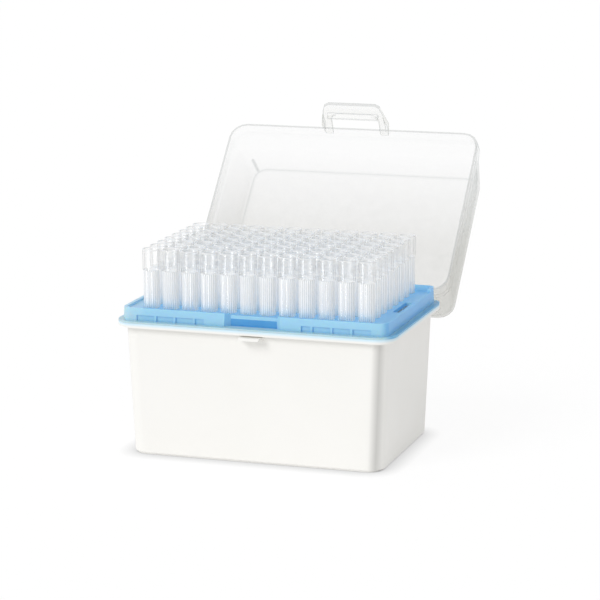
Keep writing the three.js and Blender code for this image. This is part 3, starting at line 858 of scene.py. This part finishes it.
# %% Grid of copies
def grid_tree():
    """Geometry nodes: a shape on every point of a grid, each turned by a random angle."""
    tree = bpy.data.node_groups.new("copies_on_a_grid", "GeometryNodeTree")
    for name, kind in (
        ("Shape", "NodeSocketObject"),
        ("Material", "NodeSocketMaterial"),
        ("Columns", "NodeSocketInt"),
        ("Rows", "NodeSocketInt"),
        ("Pitch", "NodeSocketFloat"),
        ("Largest turn", "NodeSocketFloat"),
        ("Seed", "NodeSocketInt"),
    ):
        tree.interface.new_socket(name, in_out="INPUT", socket_type=kind)
    tree.interface.new_socket("Geometry", in_out="OUTPUT", socket_type="NodeSocketGeometry")
    given = add(tree, "NodeGroupInput").outputs

    def length_of(count):
        gaps = add(tree, "ShaderNodeMath", (given[count], 1.0), operation="SUBTRACT")
        return add(tree, "ShaderNodeMath", (gaps, given["Pitch"]), operation="MULTIPLY")

    grid = add(tree, "GeometryNodeMeshGrid", {
        "Size X": length_of("Columns"),
        "Size Y": length_of("Rows"),
        "Vertices X": given["Columns"],
        "Vertices Y": given["Rows"],
    })
    shape = add(tree, "GeometryNodeObjectInfo", {"Object": given["Shape"]})
    # The node's fourth input and second output are the ones for a plain number.
    turn = add(tree, "FunctionNodeRandomValue", {
        3: given["Largest turn"],
        "Seed": given["Seed"],
    }, data_type="FLOAT")
    copies = add(tree, "GeometryNodeInstanceOnPoints", {
        "Points": grid.outputs["Mesh"],
        "Instance": shape.outputs["Geometry"],
        "Rotation": add(tree, "ShaderNodeCombineXYZ", {"Z": turn.outputs[1]}),
    })
    real = add(tree, "GeometryNodeRealizeInstances", {"Geometry": copies})
    painted = add(tree, "GeometryNodeSetMaterial", {
        "Geometry": real,
        "Material": given["Material"],
    })
    add(tree, "NodeGroupOutput", {"Geometry": painted})
    return tree


GRID = grid_tree()
print("grid tree:", len(GRID.nodes), "nodes")

# %% [markdown]
# ## Using the grid
#
# The tree is used through a modifier, whose inputs are known by their identifiers. The result is
# turned into plain mesh, so nothing depends on the modifier afterwards.

# %% Copies on the grid
GRID_SEED = 11


def on_grid(name, mesh, material, largest_turn=0.0):
    """An object with the mesh on every point of the tips' grid."""
    pattern = bpy.data.objects.new(name + "_pattern", mesh)
    obj = add_piece(name, bpy.data.meshes.new(name))
    modifier = obj.modifiers.new("grid", "NODES")
    modifier.node_group = GRID
    values = {
        "Shape": pattern,
        "Material": material,
        "Columns": COLUMNS,
        "Rows": ROWS,
        "Pitch": PITCH,
        "Largest turn": largest_turn,
        "Seed": GRID_SEED,
    }
    for socket in GRID.interface.items_tree:
        if socket.in_out == "INPUT":
            modifier[socket.identifier] = values[socket.name]
    settled(obj)
    bpy.data.objects.remove(pattern)
    return obj


print(f"grid of {COLUMNS} x {ROWS}, seed {GRID_SEED}")

# %% [markdown]
# ## Turned shapes
#
# A tip is round, so it is drawn as half of its outline and spun about its axis. The radius may
# change with the angle, which gives the barrel its fine upright ribs: they stiffen the thin wall
# and let air past when a tip is pushed into its hole. Each point also stores whether it lies on a
# rib's crest or in a groove, so that the material can make the thicker crests milkier, and
# whether it is on the outside or in the bore.

# %% Spinning an outline
ON_CREST, IN_GROOVE, NO_RIB = 1.0, 0.0, 0.5


def spun(name, outline, sides, outside_rings=0):
    """A closed solid: the outline is a list of (radius, height, rib depth) in millimetres.

    The first outside_rings rings of the outline are the outside, and the others are the bore.
    """
    points = []
    for radius, height, rib in outline:
        for i in range(sides):
            r = (radius - (rib if i % 2 else 0.0)) * MM
            a = 2 * pi * i / sides
            points.append((r * cos(a), r * sin(a), height * MM))
    faces = []
    for ring in range(len(outline)):
        low, high = ring * sides, (ring + 1) % len(outline) * sides
        for i in range(sides):
            j = (i + 1) % sides
            faces.append((low + i, low + j, high + j, high + i))
    mesh = bpy.data.meshes.new(name)
    mesh.from_pydata(points, [], faces)
    crest = mesh.attributes.new(RIB_ATTRIBUTE, "FLOAT", "POINT")
    outer = mesh.attributes.new(OUTSIDE_ATTRIBUTE, "FLOAT", "POINT")
    for ring, (_, _, rib) in enumerate(outline):
        for i in range(sides):
            point = ring * sides + i
            crest.data[point].value = (IN_GROOVE if i % 2 else ON_CREST) if rib else NO_RIB
            outer.data[point].value = float(ring < outside_rings)
    work = bmesh.new()
    work.from_mesh(mesh)
    bmesh.ops.recalc_face_normals(work, faces=work.faces)
    work.to_mesh(mesh)
    work.free()
    print(f"{name}: {len(mesh.polygons)} faces round one axis")
    return mesh


# %% [markdown]
# ## Natural polypropylene for the tips
#
# The tips are moulded without pigment in a highly polished mould. Their wall is under half a
# millimetre thick, so they are clearer than the lid, and only their many walls together look
# white. The ribbed barrel and the lip of the mouth scatter more than the smooth collar between
# them. The barrel's foot gets a painted blue for the light that comes up from the tray, and the
# side that faces away from the lamp gets a painted shade a little duller.

# %% Tips' plastic
# A polished mould leaves faint marks, half a millimetre apart.
POLISH = (1 / (0.5 * MM), 0.004, 0.01 * MM)

# The blue milk at the barrel's foot is painted light from the tray, and the far side's milk is
# painted shade.
# Zones: the barrel's foot, the step from barrel to collar and the step from collar to lip.
tip_plastic = clear_plastic(
    "natural_polypropylene_polished",
    milk=("#fbfaf8", "#fdfcfb"), line="#a5a19d", milk_shares=(0.07, 0.36),
    mirror_shares=(0.05, 0.5), gloss=(0.10, 0.14), grain=POLISH, light_loss=0.06, line_power=5.0,
    zones=((65.6, 68.8, 0.55, 1.0), (82.5, 82.7, 7.0, 1.0), (91.5, 91.7, 1.0, 6.0)),
    ribbed=True, lower_milk=("#d2edfb", 65.0, 70.5), painted_far_shade="#efeeeb",
)

# %% [markdown]
# ## The tips
#
# One outline serves all ninety-six tips: up the outside from the narrow end, over the mouth, and
# down the bore again. The grid copies it, and the copies are one piece of scene, because they are
# all of one plastic and all ride in the same box. The small panel lights only the tips.

# %% Tips
TIP_SIDES = 48
RIB_DEPTH = 0.16
TIP_EDGE_ANGLE = radians(12.0)
# Radius, height and rib depth of the outside, from the narrow end up to the mouth.
TIP_OUTSIDE = [
    (0.58, 5.8, 0.0),
    (0.62, 6.3, 0.0),
    (1.55, 25.0, 0.0),
    (3.30, 65.3, 0.0),
    (3.40, 65.66, 0.0),
    (3.60, 65.70, RIB_DEPTH),
    (3.60, 82.2, RIB_DEPTH),
    (3.62, 82.6, 0.0),
    (3.95, 82.75, 0.0),
    (3.95, 91.7, 0.0),
    (3.85, 92.0, 0.0),
]
# The bore, from the mouth down to the orifice.
TIP_BORE = [
    (3.42, 92.0, 0.0),
    (3.25, 91.6, 0.0),
    (3.12, 83.0, 0.0),
    (3.05, 69.0, 0.0),
    (2.90, 68.6, 0.0),
    (1.15, 25.0, 0.0),
    (0.35, 6.6, 0.0),
    (0.35, 5.8, 0.0),
]

one_tip = spun("tip", TIP_OUTSIDE + TIP_BORE, TIP_SIDES, len(TIP_OUTSIDE))
tips = on_grid("tips", one_tip, tip_plastic, 2 * pi)
tips.data.shade_smooth()
tips.data.set_sharp_from_angle(angle=TIP_EDGE_ANGLE)
tip_nodes = sorted(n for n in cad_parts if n.startswith("tip_") and n != "tip_tray")
belongs(tips, "box", "tip_plastic", tip_plastic, *tip_nodes)

lit_by_panel = bpy.data.collections.new("lit_by_panel")
lit_by_panel.objects.link(tips)
panel.light_linking.receiver_collection = lit_by_panel

# %% [markdown]
# ## Blue translucent polypropylene
#
# The tray is coloured so that one size of tips can be told from another. The pigment is thin
# enough for light to travel a few millimetres inside. Edges and thin ribs glow, and the glow is
# painted as a paler blue. Places that see little light, and faces turned up or to the right,
# away from the lamp, get a painted deeper blue. At its left end the light of the lamp comes right
# through, and a painted near-white stands for it.

# %% Blue plastic
# Mould grain of a third of a millimetre.
BLUE_GRAIN = (1 / (0.3 * MM), 0.15, 0.02 * MM)
BLUE_CLOUD_PER_METRE = 1 / (12 * MM)
BLUE_ROUGHNESS = 0.34
# How far a face turns up, or to the right, away from the lamp, where the painted shade of the
# deck's colour starts and is full.
LEVEL_TURN = (0.3, 0.9)
# Distance from the middle where the ends' colour starts and is full, on level faces. On the
# edges it takes the place of the painted pale glow.
SIDES_START = (60.0 * MM, 62.0 * MM)
# How far the painted shade of sheltered places reaches.
SHELTER_REACH = 1.6 * MM
# Where the painted light that comes through the left end is full and where it has faded.
LIT_END = (-61.5 * MM, -50.0 * MM)
LIT_END_SHARE = 0.8
LIGHT_TRAVELS = 1.5 * MM
LIGHT_TRAVELS_BY_COLOUR = (0.6, 1.2, 2.2)
LIGHT_INSIDE = 0.25
LIGHT_THROUGH = 0.25


def add_blue(tree, place, bump, front, deck, shaded, sides):
    """Colour with painted shade by a face's turn and shelter, and painted light along the tray.
    """
    axis = add(tree, "ShaderNodeSeparateXYZ", {"Vector": place.outputs["Object"]})
    facing = add(tree, "ShaderNodeSeparateXYZ", {"Vector": place.outputs["Normal"]})
    outward = add(tree, "ShaderNodeMath", {0: axis.outputs["X"]}, operation="ABSOLUTE")
    at_sides = add(tree, "ShaderNodeMapRange", (outward, *SIDES_START))
    level_shade_blue = add(tree, "ShaderNodeMixRGB", (at_sides, linear(deck), linear(sides)))
    # Faces turned up or to the right, away from the lamp, take the deck colour's painted shade.
    turn = add(
        tree, "ShaderNodeMath", (facing.outputs["Z"], facing.outputs["X"]), operation="MAXIMUM",
    )
    level = add(tree, "ShaderNodeMapRange", (turn, *LEVEL_TURN))
    upright_blue = add_clouds(tree, place, *front, BLUE_CLOUD_PER_METRE)
    open_blue = add(tree, "ShaderNodeMixRGB", (level, upright_blue, level_shade_blue))
    # Ambient occlusion mixes in the shaded colour: painted shade in sheltered places.
    open_air = add(
        tree, "ShaderNodeAmbientOcclusion", {"Distance": SHELTER_REACH, "Normal": bump},
        samples=CORNER_SAMPLES, only_local=True,
    ).outputs["AO"]
    blue = add(tree, "ShaderNodeMixRGB", (open_air, linear(shaded), open_blue))
    # The left end takes a painted near-white, for the lamp's light that comes through it.
    at_lit_end = add(
        tree, "ShaderNodeMapRange", (axis.outputs["X"], *LIT_END, LIT_END_SHARE, 0.0),
    )
    return add(tree, "ShaderNodeMixRGB", (at_lit_end, blue, linear("#d4f1fd")))


def blue_polypropylene(name, front, deck, shaded, sides=None):
    """Blue plastic: its own colour on upright faces, and painted shade on faces turned up or to
    the right and where little light comes.

    front holds two hex colours. sides is the colour that level faces take at the tray's left and
    right ends, where it isn't the deck's.
    """
    material, tree = new_material(name)
    place = add(tree, "ShaderNodeTexCoord")
    bump = add_grain(tree, place, *BLUE_GRAIN)
    colour = add_blue(tree, place, bump, front, deck, shaded, sides or deck)
    plastic = add(tree, "ShaderNodeBsdfPrincipled", {
        "Base Color": colour,
        "Roughness": BLUE_ROUGHNESS,
        "IOR": POLYPROPYLENE_IOR,
        "Subsurface Weight": LIGHT_INSIDE,
        "Subsurface Radius": LIGHT_TRAVELS_BY_COLOUR,
        "Subsurface Scale": LIGHT_TRAVELS,
        "Normal": bump,
    })
    behind = add(tree, "ShaderNodeBsdfTranslucent", {"Color": colour, "Normal": bump})
    surface = add(tree, "ShaderNodeMixShader", (LIGHT_THROUGH, plastic, behind))
    add(tree, "ShaderNodeOutputMaterial", {"Surface": surface})
    print(f"{name}: {len(tree.nodes)} nodes")
    return material


blue_plastic = blue_polypropylene(
    "blue_polypropylene_translucent", ("#aee2fb", "#b6e6fc"), "#8ecffc", "#92cff5",
)
# A paler blue: the painted glow of edges and of the flange lit from below.
painted_glow_blue = blue_polypropylene(
    "blue_polypropylene_edge_painted_glow", ("#cdf0fd", "#d3f2fe"), "#c2ecfe", "#b4e2fa", sides="#8accfa",
)
# A deeper blue: the painted shade of the dark hollow seen through the thin wall.
painted_hollow_shade_blue = blue_polypropylene(
    "blue_polypropylene_thin_wall_painted_shade", ("#469fe2", "#78c2f2"), "#55ace9", "#4a9fe2",
)

# %% [markdown]
# ## The tray and its holes
#
# In the measured model the inner tips are one solid with the tray. Here the tray is made on its
# own: the faces of those tips are taken off, the openings they leave are closed, and then all
# ninety-six holes are cut afresh with round cutters from the grid. A boolean needs closed
# solids, which is why the openings are closed first and cut again.

# %% Tray and holes
TIP_CLEARANCE = 0.05 * MM
HOLE_SIDES = 24
# The cutters' outline in millimetres. It stops just short of the axis, so no points coincide.
HOLE_RADIUS = 3.36
CUTTER_AXIS = 0.001
CUTTER_BOTTOM = 50.0
CUTTER_TOP = 80.0


def nearest_tip(x, y):
    """How far a point is from the axis of the nearest tip, seen from above."""
    column = round((x - FIRST_TIP.x) / PITCH)
    row = round((y - FIRST_TIP.y) / PITCH)
    column = min(max(column, 0), COLUMNS - 1)
    row = min(max(row, 0), ROWS - 1)
    return Vector((x - FIRST_TIP.x - column * PITCH, y - FIRST_TIP.y - row * PITCH)).length


def take_tips_off(work):
    """Take every tip and hole out of the tray's mesh and close what they leave open."""
    reach = TIP_RADIUS + TIP_CLEARANCE
    gone = [f for f in work.faces if all(nearest_tip(v.co.x, v.co.y) < reach for v in f.verts)]
    bmesh.ops.delete(work, geom=gone, context="FACES")
    open_edges = [e for e in work.edges if e.is_boundary]
    bmesh.ops.holes_fill(work, edges=open_edges, sides=0)
    still_open = sum(1 for e in work.edges if not e.is_manifold)
    print(f"took {len(gone)} faces off, filled {len(open_edges)} edges, {still_open} left open")


def cut_holes(obj):
    """Cut a round hole for each tip."""
    outline = [
        (CUTTER_AXIS, CUTTER_BOTTOM, 0.0),
        (HOLE_RADIUS, CUTTER_BOTTOM, 0.0),
        (HOLE_RADIUS, CUTTER_TOP, 0.0),
        (CUTTER_AXIS, CUTTER_TOP, 0.0),
    ]
    cutters = on_grid("hole_cutters", spun("hole", outline, HOLE_SIDES), blue_plastic)
    cut = obj.modifiers.new("holes", "BOOLEAN")
    cut.operation = "DIFFERENCE"
    cut.solver = "EXACT"
    cut.object = cutters
    settled(obj)
    bpy.data.objects.remove(cutters)


tray = add_piece("tray_moulding", joined_copy("tip_tray", take_tips_off))
cut_holes(tray)
print("tray with its holes:", len(tray.data.polygons), "faces")

# %% [markdown]
# ## Three blues on one moulding
#
# The tray is one moulding, but its blue isn't the same all over. The thin wall at the back of
# the front recess has the dark hollow of the base behind it, and that shade is painted as a
# deeper blue. The flange that lies on the rim is lit from below by the white plastic, and that
# light is painted as a paler blue, as on every rounded edge. A material index on each face is the
# plain way to say so.

# %% Paint and finish the tray
THIN_WALL_TOP = 64.1 * MM
RECESS_HALF = 11.5 * MM
RECESS_FRONT = -38.6 * MM
RECESS_DEPTH = 3.0 * MM
FLANGE_START = 60.05 * MM
FLANGE_LIMIT = 61.0 * MM
TRAY_RADIUS = 0.25 * MM
HOLLOW_SHADE_SLOT = 2
FACES_FRONT = -0.9


def paint_tray(mesh):
    """Give the thin wall of the front recess a painted deeper shade and the flange a painted pale
    glow.

    The recess's back wall is first cut at the deck's underside, because only the part below it
    has the dark hollow of the base behind it.
    """
    work = bmesh.new()
    work.from_mesh(mesh)

    def is_recess_wall(face):
        centre = face.calc_center_median()
        in_recess = (
            abs(centre.x) < RECESS_HALF
            and RECESS_FRONT < centre.y < RECESS_FRONT + RECESS_DEPTH
        )
        return face.normal.y < FACES_FRONT and in_recess

    back_walls = [f for f in work.faces if is_recess_wall(f)]
    edges = {e for f in back_walls for e in f.edges}
    bmesh.ops.bisect_plane(
        work, geom=back_walls + list(edges), plane_co=(0, 0, THIN_WALL_TOP), plane_no=(0, 0, 1),
    )
    painted = [0, 0, 0]
    for face in work.faces:
        heights = [v.co.z for v in face.verts]
        if is_recess_wall(face) and face.calc_center_median().z < THIN_WALL_TOP:
            face.material_index = HOLLOW_SHADE_SLOT
        elif max(heights) < FLANGE_LIMIT and min(heights) > FLANGE_START:
            face.material_index = EDGE_SLOT
        painted[face.material_index] += 1
    work.to_mesh(mesh)
    work.free()
    print("tray faces in its own blue, edge blue and thin blue:", painted)


tray.data.materials.clear()
for plastic in (blue_plastic, painted_glow_blue, painted_hollow_shade_blue):
    tray.data.materials.append(plastic)
paint_tray(tray.data)
# The rounded edges take the painted pale glow.
round_edges(tray, TRAY_RADIUS, edge_material=EDGE_SLOT)
belongs(tray, "box", "tray_plastic", blue_plastic, "tip_tray")

# %% [markdown]
# ## Light paths
#
# A ray that crosses eight rows of tips meets more than sixty clear walls. The renderer gives up
# after eight of them by default and returns black, so that limit is raised. Light that is
# scattered between so many milky walls also needs more bounces than the usual four.

# %% Light paths
CLEAR_WALLS = 96
ALL_BOUNCES = 20
SCATTERED_BOUNCES = 12

bpy.context.scene.cycles.transparent_max_bounces = CLEAR_WALLS
bpy.context.scene.cycles.max_bounces = ALL_BOUNCES
bpy.context.scene.cycles.diffuse_bounces = SCATTERED_BOUNCES
print("clear walls that a ray may cross:", bpy.context.scene.cycles.transparent_max_bounces)
